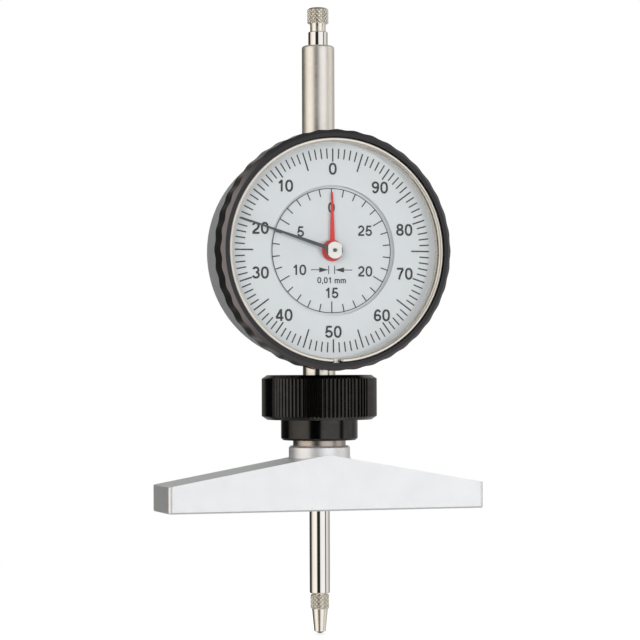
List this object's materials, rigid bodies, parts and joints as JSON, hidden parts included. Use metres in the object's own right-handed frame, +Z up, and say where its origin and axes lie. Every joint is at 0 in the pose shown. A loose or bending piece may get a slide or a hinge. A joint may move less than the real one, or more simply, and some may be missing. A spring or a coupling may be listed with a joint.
{
  "type": "dial depth gauge",
  "caption": "Dial depth gauge: a dial head with a spring-loaded rack spindle, clamped by a knurled nut in a steel bridge with a lapped measuring face.",
  "frame": {"origin": "centre of the bridge's lapped measuring face, on the spindle axis", "axes": "+Z up along the spindle, away from the work; +X along the bridge to the right as seen from the dial's front; the dial faces -Y"},
  "size_m": [0.08, 0.0296, 0.1532],
  "materials": {
    "bridge_steel": "satin, fine ground",
    "bush_steel": "turned, bright",
    "ground_steel": "ground and polished",
    "screw_steel": "turned",
    "tool_steel": "ground",
    "spring_steel": "blued or bright drawn wire and strip",
    "ball_steel": "polished, hardened",
    "nickel_plated": "nickel plated, knurled",
    "nickel_wire": "nickel plated, bright",
    "black_anodised": "black anodised",
    "bezel_black": "black satin",
    "case_grey": "mid grey satin",
    "pointer_black": "matt black",
    "hand_red": "matt red",
    "dial_print": "matt pale blue-grey, printed black",
    "cream_plastic": "matt",
    "brass": "machined",
    "bronze": "turned and reamed",
    "crystal": "clear"
  },
  "bodies": {
    "base": {"bridge": "bridge_steel", "clamp_bush": "bush_steel"},
    "nut": {"clamp_nut": "black_anodised"},
    "collet": {"split_collet": "bronze"},
    "head": {"case": "case_grey", "back_cover": "case_grey", "back_cover_screws": "screw_steel", "stem": "ground_steel", "guard_tube": "ground_steel", "lower_spindle_bush": "bronze", "upper_spindle_bush": "bronze", "front_plate": "brass", "front_plate_screws": "screw_steel", "pillars": "brass", "pillar_screws": "screw_steel", "rear_plate": "brass", "arbor_bridge": "brass", "arbor_bridge_posts": "screw_steel", "guide_rail": "tool_steel", "guide_rail_screws": "screw_steel", "spring_post": "screw_steel", "return_spring": "spring_steel", "hairspring": "spring_steel", "hairspring_stud": "brass", "inner_dial": "dial_print", "bezel_snap_ring": "spring_steel"},
    "bezel": {"bezel": "bezel_black", "outer_dial": "dial_print", "dial_spacer": "cream_plastic", "crystal": "crystal", "retaining_ring": "nickel_wire"},
    "spindle": {"spindle": "ground_steel", "guide_pin": "tool_steel", "lifting_cap": "nickel_plated", "contact_point": "nickel_plated", "contact_ball": "ball_steel"},
    "rack_gear": {"rack_arbor": "tool_steel", "main_gear": "brass", "counter_pinion": "brass"},
    "pointer": {"centre_arbor": "tool_steel", "pointer": "pointer_black", "pointer_cap": "nickel_wire"},
    "counter": {"counter_tube": "brass", "counter_wheel": "brass", "counter_hand": "hand_red"},
    "take_up": {"take_up_arbor": "tool_steel", "take_up_wheel": "brass", "hairspring_collet": "brass"}
  },
  "joints": [
    {"name": "nut_turn", "type": "hinge", "parent": "base", "child": "nut", "pos_m": [0, 0, 0.025], "axis": [0, 0, 1], "range_deg": [0, 180]},
    {"name": "head_swivel", "type": "hinge", "parent": "base", "child": "collet", "pos_m": [0, 0, 0.02], "axis": [0, 0, 1], "continuous": true},
    {"name": "head_height", "type": "slide", "parent": "collet", "child": "head", "axis": [0, 0, 1], "range_m": [-0.0009, 0.008]},
    {"name": "bezel_turn", "type": "hinge", "parent": "head", "child": "bezel", "pos_m": [0, 0, 0.0629], "axis": [0, 1, 0], "continuous": true},
    {"name": "spindle_travel", "type": "slide", "parent": "head", "child": "spindle", "axis": [0, 0, 1], "range_m": [0, 0.0302], "stiffness_N_per_m": 10, "springref_m": -0.1, "deforming": ["return_spring"]},
    {"name": "rack_arbor_turn", "type": "hinge", "parent": "head", "child": "rack_gear", "pos_m": [-0.00371, 0, 0.07325], "axis": [0, 1, 0], "range_deg": [-1090, 5]},
    {"name": "pointer_turn", "type": "hinge", "parent": "head", "child": "pointer", "pos_m": [0, 0, 0.0629], "axis": [0, 1, 0], "range_deg": [-10, 10890]},
    {"name": "counter_turn", "type": "hinge", "parent": "head", "child": "counter", "pos_m": [0, 0, 0.0629], "axis": [0, 1, 0], "range_deg": [-5, 370]},
    {"name": "take_up_turn", "type": "hinge", "parent": "head", "child": "take_up", "pos_m": [-0.00285, 0, 0.05227], "axis": [0, 1, 0], "range_deg": [-1090, 5]}
  ],
  "couplings": [
    {"joint": "rack_arbor_turn", "follows": "spindle_travel", "rad_per_m": -628.32},
    {"joint": "pointer_turn", "follows": "spindle_travel", "rad_per_m": 6283.2},
    {"joint": "counter_turn", "follows": "spindle_travel", "rad_per_m": 209.44},
    {"joint": "take_up_turn", "follows": "spindle_travel", "rad_per_m": -628.32}
  ]
}
